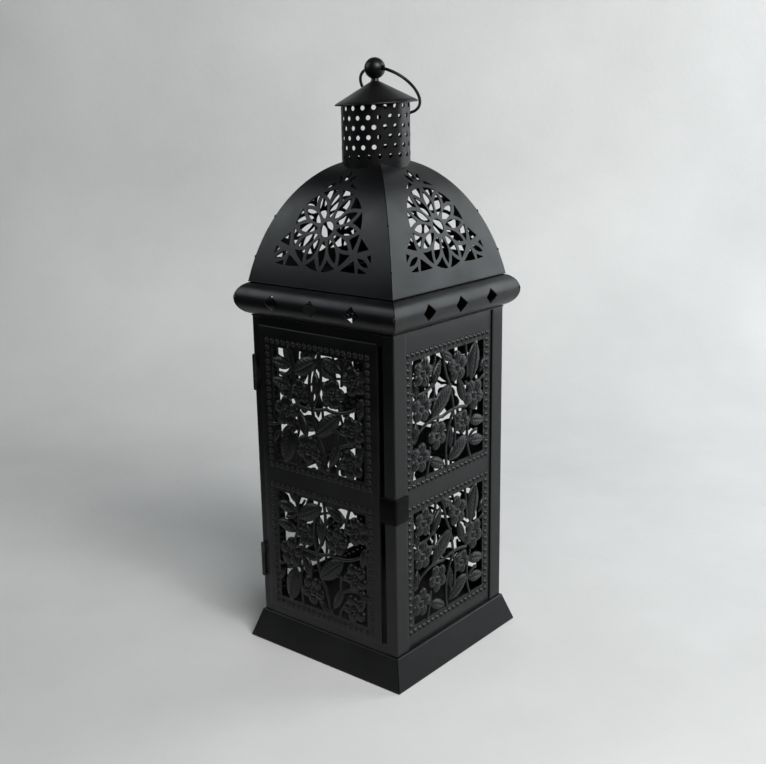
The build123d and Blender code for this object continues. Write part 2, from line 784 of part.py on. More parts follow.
save(square_frame(TOP_FRAME_HALF, BODY_TOP, PLATE), "top_frame")
quarter_turns(cornice_strip(WEDGE), "cornice")
save(square_frame(CROWN_FRAME_HALF, CORNICE_TOP, SHEET), "crown_frame")
quarter_turns(dome_panel(WEDGE), "dome")
save(tack_welds(), "tack_welds")
save(chimney(), "chimney")
save(cone_cap(), "cone_cap")
save(finial_ball(), "finial_ball")
save(hanging_ring(), "hanging_ring")
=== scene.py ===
"""Moroccan metal lantern: black painted sheet steel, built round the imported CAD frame.

Sizes below are in millimetres in the row's frame (front is -Y, +Z up); meshes are written in metres.
Sheet-metal pieces are grids over (s, t): s runs along the sheet, t up it, and a height h stands off its face.
"""

import math

import bpy
import numpy as np
from mathutils import Matrix, Vector


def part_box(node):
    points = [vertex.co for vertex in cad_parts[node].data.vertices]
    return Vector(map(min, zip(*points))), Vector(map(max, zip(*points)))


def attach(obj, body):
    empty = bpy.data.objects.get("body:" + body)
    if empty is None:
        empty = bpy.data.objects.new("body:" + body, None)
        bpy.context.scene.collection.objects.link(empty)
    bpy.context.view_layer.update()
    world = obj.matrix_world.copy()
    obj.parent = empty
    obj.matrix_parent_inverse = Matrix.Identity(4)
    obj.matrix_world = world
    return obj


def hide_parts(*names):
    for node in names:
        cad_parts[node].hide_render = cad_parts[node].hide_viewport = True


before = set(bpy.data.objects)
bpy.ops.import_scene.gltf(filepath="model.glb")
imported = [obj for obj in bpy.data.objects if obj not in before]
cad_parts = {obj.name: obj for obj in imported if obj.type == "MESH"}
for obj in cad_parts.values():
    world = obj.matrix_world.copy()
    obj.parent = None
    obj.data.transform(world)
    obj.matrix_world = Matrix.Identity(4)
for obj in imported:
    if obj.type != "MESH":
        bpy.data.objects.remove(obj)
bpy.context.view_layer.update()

MM = 0.001
SIDES = ("front", "right", "back", "left")


def low(node):
    """Lowest corner of a CAD node, in millimetres."""
    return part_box(node)[0] / MM


def high(node):
    """Highest corner of a CAD node, in millimetres."""
    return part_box(node)[1] / MM


# ---------------------------------------------------------------- sizes taken from the frame
BASE_HALF = high("base_right").x
BASE_TOP = high("base_front").z
BASE_LIP_HALF = -high("base_front").y
BODY_HALF = high("post_front_right").x
BODY_TOP = high("post_front_right").z
FRONT_LEG = BODY_HALF - low("post_front_right").x
SIDE_LEG = high("post_front_right").y + BODY_HALF
PANEL_HALF = high("panel_right").y
BACK_PANEL_HALF = high("panel_back").x
DOOR_LEFT = low("door_panel").x
DOOR_RIGHT = high("door_panel").x
DOOR_BOTTOM = low("door_panel").z
DOOR_TOP = high("door_panel").z
DOOR_BACK = -high("door_panel").y
LATCH_BOTTOM = low("latch_strap").z
LATCH_TOP = high("latch_strap").z
LATCH_OUT = high("latch_strap").x
LATCH_END = high("latch_strap").y
CORNICE_BOTTOM = low("cornice_front").z
CORNICE_TOP = high("cornice_front").z
CORNICE_RADIUS = (CORNICE_TOP - CORNICE_BOTTOM) / 2
CORNICE_AXIS_HALF = -low("cornice_front").y - CORNICE_RADIUS
CORNICE_FLANGE_HALF = -high("cornice_front").y
CROWN_HALF = high("crown_frame").x
TOP_FRAME_HALF = high("top_frame").x
DOME_BASE = low("dome_front").z
CHIMNEY_RADIUS = high("chimney").x
CHIMNEY_BOTTOM = low("chimney").z
CHIMNEY_TOP = high("chimney").z
CAP_RADIUS = high("cone_cap").x
CAP_RIM_Z = low("cone_cap").z
CAP_TOP_Z = high("cone_cap").z
BALL_TOP = high("finial_ball").z
BALL_RADIUS = high("finial_ball").y
BALL_Z = BALL_TOP - BALL_RADIUS
HINGE_NODES = ("lower", "upper")

# ---------------------------------------------------------------- sizes the frame doesn't give
SHEET = 0.8
PLATE = 1.0
BASE_TOP_HALF = BODY_HALF + 1.1
BASE_HEM = 6.0
PANEL_FACE = BODY_HALF - PLATE
DOOR_FACE = DOOR_BACK + PLATE
SEAM = 0.28                 # half the gap left at a hip or mitre seam

WINDOW_Z = (75.4, 176.8)
SIDE_WINDOW_X = -1.0
DOOR_WINDOW_X = (DOOR_LEFT + DOOR_RIGHT) / 2
WINDOW_HALF = 39.5
BEAD_HALF = 43.4
BEADS_PER_SIDE = 18
BEAD_RADIUS = 1.75
BEAD_HEIGHT = 1.45
STEPS_PER_BEAD = 10
DIE_STEP = 2 * BEAD_HALF / BEADS_PER_SIDE / STEPS_PER_BEAD
DIE_STEPS = 96
DIE_HALF = DIE_STEPS * DIE_STEP

DOME_ELLIPSE_W = 3.9
DOME_ELLIPSE_Z = 214.6
DOME_ELLIPSE_A = 61.75
DOME_ELLIPSE_B = 122.3
DOME_TOP_HALF = 14.0


# camera, in degrees, metres and the lens's millimetres
CAMERA_AZIMUTH = 39.4
CAMERA_PITCH = 14.9
CAMERA_ROLL = -0.0162
CAMERA_LENS = 51.92
CAMERA_AIM_HEIGHT = 0.185
CAMERA_SHIFT = 0.002
CAMERA_DISTANCE = 0.7614


# ---------------------------------------------------------------- mesh builders
def new_piece(name, points, faces, body, material, replaced=(), sharp=35.0):
    """Mesh object from points in millimetres, riding on a body, smooth but for its sharp edges."""
    mesh = bpy.data.meshes.new(name)
    mesh.from_pydata((np.asarray(points, float) * MM).tolist(), [], faces)
    mesh.validate()
    mesh.polygons.foreach_set("use_smooth", [True] * len(mesh.polygons))
    mesh.set_sharp_from_angle(angle=math.radians(sharp))
    mesh.materials.append(material)
    piece = bpy.data.objects.new(name, mesh)
    bpy.context.scene.collection.objects.link(piece)
    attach(piece, body)
    if replaced:
        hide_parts(*replaced)
    return piece


def grid_faces(s_lines, t_lines, field=None, keep=None):
    """Points (s, t) and faces of the part of a grid that is solid.

    field(s, t) is above zero where the sheet is; its zero line becomes a smooth cut edge.
    keep(s, t) picks whole cells by their middles, for sheets with straight edges only.
    """
    s_grid, t_grid = np.meshgrid(s_lines, t_lines)
    rows, cols = s_grid.shape
    number = np.arange(rows * cols).reshape(rows, cols)
    corners = [number[:-1, :-1], number[:-1, 1:], number[1:, 1:], number[1:, :-1]]
    s_all = [s_grid.ravel()]
    t_all = [t_grid.ravel()]
    if field is None:
        middle_s = (s_grid[:-1, :-1] + s_grid[1:, 1:]) / 2
        middle_t = (t_grid[:-1, :-1] + t_grid[1:, 1:]) / 2
        wanted = np.ones_like(middle_s, bool) if keep is None else keep(middle_s, middle_t)
        faces = [np.stack([c[wanted] for c in corners], 1)]
    else:
        value = field(s_grid, t_grid)
        inside = value > 0
        count = rows * cols
        crossings = []
        for first, second in (
            ((slice(None), slice(None, -1)), (slice(None), slice(1, None))),
            ((slice(None, -1), slice(None)), (slice(1, None), slice(None))),
        ):
            cut = inside[first] != inside[second]
            share = value[first] / np.where(cut, value[first] - value[second], 1.0)
            share = np.clip(share, 0.06, 0.94)
            ids = np.full(cut.shape, -1)
            ids[cut] = count + np.arange(cut.sum())
            count += int(cut.sum())
            s_all.append((s_grid[first] + share * (s_grid[second] - s_grid[first]))[cut])
            t_all.append((t_grid[first] + share * (t_grid[second] - t_grid[first]))[cut])
            crossings.append(ids)
        along, across = crossings
        edges = [along[:-1, :], across[:, 1:], along[1:, :], across[:, :-1]]
        ring_in = [inside.ravel()[c] for c in corners]
        code = sum(flag.astype(int) << k for k, flag in enumerate(ring_in))
        faces = []
        for case in range(1, 16):
            here = code == case
            if not here.any():
                continue
            columns = []
            for k in range(4):
                this_in = case >> k & 1
                next_in = case >> (k + 1) % 4 & 1
                if this_in:
                    columns.append(corners[k][here])
                if this_in != next_in:
                    columns.append(edges[k][here])
            faces.append(np.stack(columns, 1))
    s_all = np.concatenate(s_all)
    t_all = np.concatenate(t_all)
    used = np.unique(np.concatenate([f.ravel() for f in faces]))
    renumber = np.full(len(s_all), -1)
    renumber[used] = np.arange(len(used))
    return s_all[used], t_all[used], [renumber[f] for f in faces]


def sheet(name, body, lines, place, thickness, material, relief=None, replaced=(), **shape):
    """Sheet-metal piece: front and back faces over the grid's solid part, joined by cut edges."""
    s, t, faces = grid_faces(*lines, **shape)
    lift = np.zeros_like(s) if relief is None else relief(s, t)
    front = place(s, t, lift)
    back = place(s, t, lift - thickness)
    total = len(s)
    starts = np.concatenate([f.ravel() for f in faces])
    ends = np.concatenate([np.roll(f, -1, 1).ravel() for f in faces])
    rim = ~np.isin(ends * total + starts, starts * total + ends)
    rim_start, rim_end = starts[rim], ends[rim]
    walls = np.stack([rim_end, rim_start, rim_start + total, rim_end + total], 1)
    every = []
    for f in faces:
        every += f.tolist()
        every += (f[:, ::-1] + total).tolist()
    every += walls.tolist()
    return new_piece(name, np.concatenate([front, back]), every, body, material, replaced)


def spaced(start, end, step):
    """Even lines from start to end, about step apart."""
    return np.linspace(start, end, max(2, int(round(abs(end - start) / step)) + 1))


def merged(*groups):
    """Sorted grid lines with near-duplicates taken out."""
    lines = np.sort(np.concatenate([np.atleast_1d(g) for g in groups]))
    return lines[np.insert(np.diff(lines) > 1e-4, 0, True)]


def edge_lines(start, end, radius):
    """Lines close to both ends, so that a rounded edge has enough of them."""
    near = radius * np.array([0.0, 0.06, 0.2, 0.45, 1.0])
    return np.concatenate([start + near, end - near])


def rounded_edge(distance, radius):
    """How far a rounded edge drops below the face, by distance in from the edge."""
    gap = np.clip(radius - distance, 0, radius)
    return np.sqrt(np.clip(radius**2 - gap**2, 0, None)) - radius


def turned(points, step):
    """Points turned about the lantern's axis by whole quarter turns."""
    x, y, z = points[:, 0], points[:, 1], points[:, 2]
    for _ in range(step):
        x, y = -y, x
    return np.stack([x, y, z], 1)


def rounded_path(corners, radius, step=0.35):
    """Points along a polyline whose inner corners are rounded off."""
    corners = [np.array(c, float) for c in corners]
    points = [corners[0]]
    for before, here, after in zip(corners, corners[1:], corners[2:]):
        into = (before - here) / np.linalg.norm(before - here)
        away = (after - here) / np.linalg.norm(after - here)
        half = math.acos(np.clip(into @ away, -1, 1)) / 2
        back = min(radius / math.tan(half), np.linalg.norm(before - here) / 2)
        start, end = here + into * back, here + away * back
        for share in np.linspace(0, 1, 7):
            points.append((1 - share) ** 2 * start + 2 * share * (1 - share) * here + share**2 * end)
    points.append(corners[-1])
    return np.array(points)


class Path:
    """A curve in a plane, read by its length, with unit normals on its outer (right-hand) side."""

    def __init__(self, points):
        points = np.asarray(points, float)
        steps = np.linalg.norm(np.diff(points, axis=0), axis=1)
        keep = np.insert(steps > 1e-6, 0, True)
        self.points = points[keep]
        self.at = np.insert(np.cumsum(np.linalg.norm(np.diff(self.points, axis=0), axis=1)), 0, 0)
        tangent = np.gradient(self.points, self.at, axis=0)
        tangent /= np.linalg.norm(tangent, axis=1)[:, None]
        self.normals = np.stack([tangent[:, 1], -tangent[:, 0]], 1)
        self.length = self.at[-1]

    def point(self, t):
        """First and second coordinate at length t."""
        return [np.interp(t, self.at, self.points[:, k]) for k in (0, 1)]

    def normal(self, t):
        """Outward normal's two coordinates at length t."""
        return [np.interp(t, self.at, self.normals[:, k]) for k in (0, 1)]


def upright_place(path):
    """Placer for a strip bent along a path in plan: s runs along it and t is the height."""

    def place(s, t, h):
        x, y = path.point(s)
        out_x, out_y = path.normal(s)
        return np.stack([x + out_x * h, y + out_y * h, t], 1)

    return place


def flat_place(face, step):
    """Placer for a flat upright sheet with its face this far out from the lantern's axis."""

    def place(s, t, h):
        return turned(np.stack([s, -(face + h), t], 1), step)

    return place


def revolved(name, body, profile, origin, axis, material, replaced=(), steps=96, sharp=35.0):
    """Closed profile of (radius, height) points turned about an axis."""
    profile = np.asarray(profile, float)
    spin = Vector((0, 0, 1)).rotation_difference(Vector(axis)).to_matrix()
    count = len(profile)
    points = []
    for k in range(steps):
        angle = 2 * math.pi * k / steps
        for radius, height in profile:
            local = Vector((radius * math.cos(angle), radius * math.sin(angle), height))
            points.append(spin @ local + Vector(origin))
    faces = []
    for k in range(steps):
        here, after = k * count, (k + 1) % steps * count
        for j in range(count):
            nxt = (j + 1) % count
            faces.append((here + j, after + j, after + nxt, here + nxt))
    piece = new_piece(name, points, faces, body, material, replaced, sharp)
    tidy_poles(piece)
    return piece


def tidy_poles(piece):
    """Merge the doubled points where a profile touches its axis, and point the faces outwards."""
    import bmesh

    work = bmesh.new()
    work.from_mesh(piece.data)
    bmesh.ops.remove_doubles(work, verts=work.verts, dist=1e-6)
    bmesh.ops.dissolve_degenerate(work, edges=work.edges, dist=1e-7)
    bmesh.ops.recalc_face_normals(work, faces=work.faces)
    work.to_mesh(piece.data)
    work.free()


# ---------------------------------------------------------------- the flower die
FLOWERS = (
    (9.0, 26.5, 10.5, 20.0),
    (28.0, 3.5, 11.0, 50.0),
    (-30.0, 7.0, 10.0, 10.0),
    (-28.5, 30.0, 10.0, 75.0),
    (-13.5, -15.0, 10.0, 40.0),
    (-32.0, -26.0, 10.0, 0.0),
    (14.0, -12.5, 8.5, 62.0),
)
LEAVES = (
    (27.5, 27.0, 27.0, 13.5, 78.0),
    (-8.5, 7.0, 29.0, 12.5, 40.0),
    (10.0, -30.0, 25.0, 12.0, 28.0),
    (31.5, -15.5, 19.0, 8.5, -12.0),
    (13.5, 9.5, 19.0, 7.5, 112.0),
    (-14.5, 26.5, 20.0, 7.5, 62.0),
    (-3.0, 36.0, 15.0, 6.5, -28.0),
    (31.0, -29.5, 18.0, 8.5, -8.0),
    (-14.0, -34.0, 19.0, 8.0, -24.0),
    (-37.0, -8.5, 15.0, 6.0, 82.0),
    (-36.5, 20.0, 12.0, 5.0, 100.0),
    (37.5, 22.5, 12.0, 4.5, 60.0),
    (0.6, -19.5, 17.0, 6.0, 92.0),
)
STEMS = (
    ((24.0, -40.0), (20.0, -25.0), (24.0, -8.0)),
    ((22.0, -27.0), (26.0, -23.0), (31.0, -22.0)),
    ((-3.0, -40.0), (-3.5, -20.0), (4.0, -3.0)),
    ((4.0, -3.0), (2.0, 10.0), (-3.0, 22.0)),
    ((-3.0, 22.0), (-6.0, 31.0), (-7.0, 40.0)),
    ((-40.0, -14.0), (-25.0, -4.5), (-8.0, -4.0)),
    ((-8.0, -4.0), (6.0, -1.5), (19.0, -3.0)),
    ((-40.0, 18.0), (-30.0, 16.5), (-17.5, 21.0)),
    ((18.0, 14.0), (22.0, 11.0), (30.0, 12.0)),
    ((18.0, 40.0), (19.0, 30.0), (20.0, 18.0)),
    ((-22.0, -22.0), (-23.0, -30.0), (-26.0, -40.0)),
    ((4.0, -3.0), (6.0, -20.0), (3.0, -33.0)),
    ((-16.0, 40.0), (-17.0, 34.0), (-20.0, 30.0)),
    ((34.0, 12.0), (37.0, 13.6), (40.0, 14.0)),
    ((-24.0, 10.5), (-19.0, 10.0), (-13.0, 9.0)),
    ((-18.5, 10.0), (-17.0, 15.0), (-18.0, 20.5)),
)
STEM_WIDTH = 2.0
PETALS = 5
PETAL_REACH = 0.6
PETAL_SIZE = 0.42
PETAL_HEIGHT = 1.7
LEAF_HEIGHT = 1.8
STEM_HEIGHT = 0.9


def smooth_max(a, b, blend=0.7):
    """The larger of two fields, with their meeting rounded."""
    gap = np.clip(blend - np.abs(a - b), 0, None) / blend
    return np.maximum(a, b) + gap * gap * blend / 4


def arc_distance(u, v, stem):
    """Distance from an arc given by three points."""
    (ax, ay), (bx, by), (cx, cy) = stem
    d = 2 * (ax * (by - cy) + bx * (cy - ay) + cx * (ay - by))
    a2, b2, c2 = ax * ax + ay * ay, bx * bx + by * by, cx * cx + cy * cy
    ox = (a2 * (by - cy) + b2 * (cy - ay) + c2 * (ay - by)) / d
    oy = (a2 * (cx - bx) + b2 * (ax - cx) + c2 * (bx - ax)) / d
    radius = math.hypot(ax - ox, ay - oy)
    middle = math.atan2(by - oy, bx - ox)

    def off_middle(x, y):
        """Angle from the arc's middle point, signed."""
        return (np.arctan2(y - oy, x - ox) - middle + math.pi) % (2 * math.pi) - math.pi

    ends = (off_middle(ax, ay), off_middle(cx, cy))
    angle = off_middle(u, v)
    on_arc = (angle > min(ends)) & (angle < max(ends))
    to_ends = np.minimum(np.hypot(u - ax, v - ay), np.hypot(u - cx, v - cy))
    return np.where(on_arc, np.abs(np.hypot(u - ox, v - oy) - radius), to_ends)


def die(u, v):
    """The die's solid field and its relief height, about the window's middle."""
    solid = np.maximum(np.abs(u), np.abs(v)) - WINDOW_HALF
    height = np.zeros_like(u)
    for stem in STEMS:
        away = arc_distance(u, v, stem)
        solid = smooth_max(solid, STEM_WIDTH / 2 - away)
        ridge = STEM_HEIGHT * np.sqrt(np.clip(1 - (away / (0.6 * STEM_WIDTH)) ** 2, 0, None))
        height = np.maximum(height, ridge)
    for x, z, length, width, turn in LEAVES:
        angle = math.radians(turn)
        along = (u - x) * math.cos(angle) + (v - z) * math.sin(angle)
        across = -(u - x) * math.sin(angle) + (v - z) * math.cos(angle)
        radius = (length**2 + width**2) / (4 * width)
        inset = radius - np.hypot(along, np.abs(across) + radius - width / 2)
        solid = smooth_max(solid, inset)
        fill = np.clip(inset / (width / 2), 0, 1)
        blade = LEAF_HEIGHT * (1 - (1 - fill) ** 2) ** 0.7
        midrib = 0.75 * np.exp(-((across / 0.55) ** 2))
        veins = 0.13 * np.sin(2 * math.pi * (along - 0.9 * np.abs(across)) / 2.9)
        blade = blade - (midrib + veins) * np.clip(fill * 3, 0, 1)
        height = np.where(inset > 0, np.maximum(height, blade), height)
    for x, z, radius, turn in FLOWERS:
        size = PETAL_SIZE * radius
        heart = np.hypot(u - x, v - z)
        solid = smooth_max(solid, size - heart)
        for k in range(PETALS):
            angle = math.radians(turn + 360 / PETALS * k)
            along = (u - x) * math.cos(angle) + (v - z) * math.sin(angle)
            across = -(u - x) * math.sin(angle) + (v - z) * math.cos(angle)
            inset = size - np.hypot(along - PETAL_REACH * radius, across)
            solid = smooth_max(solid, inset)
            fill = np.clip(inset / size, 0, 1)
            petal = PETAL_HEIGHT * (1 - (1 - fill) ** 2) ** 0.6
            crease = 0.45 * np.exp(-((across / 0.45) ** 2)) * np.clip(fill * 2, 0, 1)
            side_crease = 0.2 * np.exp(-(((np.abs(across) - 0.22 * radius) / 0.4) ** 2))
            petal = petal - crease - side_crease * np.clip(fill * 2, 0, 1)
            height = np.where(inset > 0, np.maximum(height, petal), height)
        ring = 0.26 * radius
        dip = np.clip(1 - np.abs(heart - ring) / 0.8, 0, 1)
        height = height - 0.8 * dip * (height > 0.3)
        eye = 1.7 * np.sqrt(np.clip(1 - (heart / (ring - 0.2)) ** 2, 0, 1))
        height = np.maximum(height, eye)
    return solid, height


def bead_height(u, v):
    """Round beads in rows round the square frame."""
    pitch = 2 * BEAD_HALF / BEADS_PER_SIDE
    along_u = u - np.clip(np.round((u + BEAD_HALF) / pitch), 0, BEADS_PER_SIDE) * pitch + BEAD_HALF
    along_v = v - np.clip(np.round((v + BEAD_HALF) / pitch), 0, BEADS_PER_SIDE) * pitch + BEAD_HALF
    off_u = np.abs(np.abs(u) - BEAD_HALF)
    off_v = np.abs(np.abs(v) - BEAD_HALF)
    away = np.minimum(np.hypot(along_u, off_v), np.hypot(off_u, along_v))
    return BEAD_HEIGHT * np.sqrt(np.clip(1 - (away / BEAD_RADIUS) ** 2, 0, None))


def window(name, body, face, step, x, z, flip, thickness, material, replaced):
    """One embossed and pierced window, its pattern the right way up or turned half round."""
    sign = -1 if flip else 1
    lines = np.arange(-DIE_STEPS, DIE_STEPS + 1) * DIE_STEP

    def field(s, t):
        return die(sign * (s - x), sign * (t - z))[0]

    def relief(s, t):
        u, v = sign * (s - x), sign * (t - z)
        return np.maximum(die(u, v)[1], bead_height(u, v))

    place = flat_place(face, step)
    grid = (lines + x, lines + z)
    return sheet(name, body, grid, place, thickness, material, relief, replaced, field=field)


def frame_sheet(name, body, face, step, box, x, thickness, material, replaced):
    """The flat sheet round the two windows, with rounded outer edges."""
    left, right, bottom, top = box
    edge = 0.45

    def keep(s, t):
        in_window = np.zeros_like(s, bool)
        for z in WINDOW_Z:
            in_window |= (np.abs(s - x) < DIE_HALF) & (np.abs(t - z) < DIE_HALF)
        return ~in_window

    def relief(s, t):
        distance = np.minimum(np.minimum(s - left, right - s), np.minimum(t - bottom, top - t))
        return rounded_edge(distance, edge)

    s_lines = merged(edge_lines(left, right, edge), [x - DIE_HALF, x + DIE_HALF])
    t_marks = [z + side * DIE_HALF for z in WINDOW_Z for side in (-1, 1)]
    t_lines = merged(edge_lines(bottom, top, edge), t_marks)
    place = flat_place(face, step)
    return sheet(
        name, body, (s_lines, t_lines), place, thickness, material, relief, replaced, keep=keep
    )


def sheet_with_windows(node, body, face, step, box, x, flip, thickness, material):
    """A door or side: its flat sheet and its two windows."""
    frame_sheet(f"{node}_sheet", body, face, step, box, x, thickness, material, [node])
    for label, z in zip(("lower", "upper"), WINDOW_Z):
        window(f"{node}_{label}_window", body, face, step, x, z, flip, thickness, material, [node])


# ---------------------------------------------------------------- dome piercing
ROSETTE_UP = 38.5
ROSETTE_RADIUS = 27.6
ROSETTE_POINTS = 12
ROSETTE_EYE = 5.2
RIM_HOLE_INNER = 20.0
RIM_HOLE_SPREAD = 12.8
RIM_HOLE_BOW = 0.5
PETAL_START = 7.4
PETAL_END = 24.8
PETAL_WIDTH = 6.0
CORNER_HOLES = (
    ((29.8, 34.8), (37.5, 28.0), (28.6, 25.3)),
    ((36.6, 23.4), (39.8, 25.2), (41.5, 19.2)),
    ((31.6, 16.2), (39.3, 13.4), (31.6, 12.6)),
    ((16.8, 13.0), (27.3, 20.5), (29.8, 12.6)),
    ((14.5, 66.3), (7.4, 71.2), (5.8, 68.6)),
)
FAN_LEAVES = (
    ((29.3, 21.8), (39.5, 17.0), 3.6),
    ((2.4, 70.6), (6.6, 77.6), 3.0),
)
TOP_LEAF = (72.0, 82.0, 3.4)


def rosette_point(radius, angle):
    """Place on the unrolled dome panel, about its rosette's middle."""
    return radius * math.cos(math.radians(angle)), ROSETTE_UP + radius * math.sin(math.radians(angle))


def outside_corners(s, t, corners):
    """Distance outside a straight-sided hole."""
    area = sum(a[0] * b[1] - b[0] * a[1] for a, b in zip(corners, corners[1:] + corners[:1]))
    away = np.full_like(s, -1e9)
    for a, b in zip(corners, corners[1:] + corners[:1]):
        dx, dt = b[0] - a[0], b[1] - a[1]
        length = math.hypot(dx, dt) * math.copysign(1, area)
        away = np.maximum(away, ((s - a[0]) * dt - (t - a[1]) * dx) / length)
    return away


def outside_leaf(s, t, start, end, width):
    """Distance outside a pointed leaf-shaped hole."""
    length = math.hypot(end[0] - start[0], end[1] - start[1])
    cos_a, sin_a = (end[0] - start[0]) / length, (end[1] - start[1]) / length
    mid_s, mid_t = (start[0] + end[0]) / 2, (start[1] + end[1]) / 2
    along = (s - mid_s) * cos_a + (t - mid_t) * sin_a
    across = -(s - mid_s) * sin_a + (t - mid_t) * cos_a
    radius = (length**2 + width**2) / (4 * width)
    return np.hypot(along, np.abs(across) + radius - width / 2) - radius


def outside_rim_hole(s, t, angle):
    """Distance outside a hole between the rosette's ring and the ends of two petals."""
    turn = math.radians(angle)
    outward = s * math.cos(turn) + (t - ROSETTE_UP) * math.sin(turn)
    sideways = np.abs(-s * math.sin(turn) + (t - ROSETTE_UP) * math.cos(turn))
    corner_side = ROSETTE_RADIUS * math.sin(math.radians(RIM_HOLE_SPREAD))
    corner_out = ROSETTE_RADIUS * math.cos(math.radians(RIM_HOLE_SPREAD))
    run_side, run_out = corner_side, corner_out - RIM_HOLE_INNER
    length = math.hypot(run_side, run_out)
    radius = (length**2 / 4 + RIM_HOLE_BOW**2) / (2 * RIM_HOLE_BOW)
    push = (radius - RIM_HOLE_BOW) / length
    centre_side = run_side / 2 + run_out * push
    centre_out = RIM_HOLE_INNER + run_out / 2 - run_side * push
    edge = radius - np.hypot(sideways - centre_side, outward - centre_out)
    ring = np.hypot(sideways, outward) - ROSETTE_RADIUS
    limits = np.maximum(RIM_HOLE_INNER - outward, sideways - corner_side - 1.0)
    return np.maximum(np.maximum(edge, ring), limits)


def dome_field(s, t):
    """Above zero where the dome panel is solid: s across, t up the wall from its foot."""
    turn = 360 / ROSETTE_POINTS
    holes = [np.hypot(s, t - ROSETTE_UP) - ROSETTE_EYE]
    for k in range(ROSETTE_POINTS):
        holes.append(outside_rim_hole(s, t, (k + 0.5) * turn))
        ends = rosette_point(PETAL_START, k * turn), rosette_point(PETAL_END, k * turn)
        holes.append(outside_leaf(s, t, *ends, PETAL_WIDTH))
    for corners in CORNER_HOLES:
        holes.append(outside_corners(np.abs(s), t, list(corners)))
    for start, end, width in FAN_LEAVES:
        holes.append(outside_leaf(np.abs(s), t, start, end, width))
    holes.append(outside_leaf(s, t, (0, TOP_LEAF[0]), (0, TOP_LEAF[1]), TOP_LEAF[2]))
    return np.min(holes, axis=0)


# ---------------------------------------------------------------- materials
def mix_value(tree, kind, **inputs):
    """A node of this kind with some of its inputs set or linked."""
    node = tree.nodes.new(kind)
    for key, value in inputs.items():
        target = node.inputs[key.replace("_", " ")]
        if isinstance(value, bpy.types.NodeSocket):
            tree.links.new(value, target)
        else:
            target.default_value = value
    return node


def noise(tree, where, scale, detail=4.0, rough=0.55):
    """Noise by place in the row frame, per metre."""
    node = mix_value(tree, "ShaderNodeTexNoise", Vector=where, Scale=scale, Detail=detail)
    node.inputs["Roughness"].default_value = rough
    return node.outputs["Fac"]


def ramp(tree, value, stops):
    """Value run through a colour ramp of (place, grey or colour) stops."""
    node = tree.nodes.new("ShaderNodeValToRGB")
    tree.links.new(value, node.inputs["Fac"])
    band = node.color_ramp
    while len(band.elements) < len(stops):
        band.elements.new(0.5)
    for element, (place, colour) in zip(band.elements, stops):
        element.position = place
        rgb = colour if isinstance(colour, tuple) else (colour,) * 3
        element.color = (*rgb, 1.0)
    return node.outputs["Color"]


def maths(tree, how, a, b, clamp=False):
    """Two values joined by one operation."""
    node = tree.nodes.new("ShaderNodeMath")
    node.operation = how
    node.use_clamp = clamp
    for socket, value in zip(node.inputs, (a, b)):
        if isinstance(value, bpy.types.NodeSocket):
            tree.links.new(value, socket)
        else:
            socket.default_value = value
    return node.outputs["Value"]


def mixed(tree, share, first, second):
    """Colour mix of two colours or sockets."""
    node = tree.nodes.new("ShaderNodeMix")
    node.data_type = "RGBA"
    tree.links.new(share, node.inputs["Factor"])
    for socket, value in ((node.inputs["A"], first), (node.inputs["B"], second)):
        sockets = [s for s in node.inputs if s.name == socket.name and s.type == "RGBA"]
        if isinstance(value, bpy.types.NodeSocket):
            tree.links.new(value, sockets[0])
        else:
            sockets[0].default_value = (*value, 1.0)
    return [s for s in node.outputs if s.type == "RGBA"][0]


def paint(name, dark, light, gloss, wear, grain, shine=0.3):
    """Satin paint on metal: mottled colour, uneven gloss, orange peel, worn edges and some dust."""
    material = bpy.data.materials.new(name)
    material.use_nodes = True
    tree = material.node_tree
    shader = tree.nodes["Principled BSDF"]
    where = tree.nodes.new("ShaderNodeTexCoord").outputs["Object"]
    cloud = noise(tree, where, 28.0)
    speck = noise(tree, where, 1400.0, 3.0)
    colour = ramp(tree, cloud, ((0.3, dark), (0.72, light)))

    geometry = tree.nodes.new("ShaderNodeNewGeometry")
    up = tree.nodes.new("ShaderNodeSeparateXYZ")
    tree.links.new(geometry.outputs["Normal"], up.inputs["Vector"])
    level = ramp(tree, up.outputs["Z"], ((0.55, 0.0), (1.0, 1.0)))
    patchy = ramp(tree, noise(tree, where, 60.0, 8.0, 0.7), ((0.42, 0.0), (0.75, 0.35)))
    dust = maths(tree, "MULTIPLY", level, patchy)
    colour = mixed(tree, dust, colour, (0.03, 0.029, 0.028))

    edges = ramp(tree, geometry.outputs["Pointiness"], ((0.56, 0.0), (0.68, 1.0)))
    rubbed = ramp(tree, noise(tree, where, 220.0, 6.0, 0.65), ((0.5, 0.0), (0.62, 1.0)))
    bare = maths(tree, "MULTIPLY", maths(tree, "MULTIPLY", edges, rubbed), wear)
    colour = mixed(tree, bare, colour, (0.035, 0.034, 0.033))
    tree.links.new(colour, shader.inputs["Base Color"])

    uneven = ramp(tree, noise(tree, where, 45.0, 5.0), ((0.3, gloss[0]), (0.7, gloss[1])))
    rough = maths(tree, "ADD", uneven, maths(tree, "MULTIPLY", dust, 0.25), True)
    tree.links.new(rough, shader.inputs["Roughness"])
    shader.inputs["Specular IOR Level"].default_value = shine

    broad = mix_value(tree, "ShaderNodeBump", Height=noise(tree, where, 22.0, 2.0), Strength=0.25)
    broad.inputs["Distance"].default_value = 0.0012
    fine = mix_value(tree, "ShaderNodeBump", Height=speck, Strength=grain, Normal=broad.outputs[0])
    fine.inputs["Distance"].default_value = 0.0001
    tree.links.new(fine.outputs["Normal"], shader.inputs["Normal"])
    return material


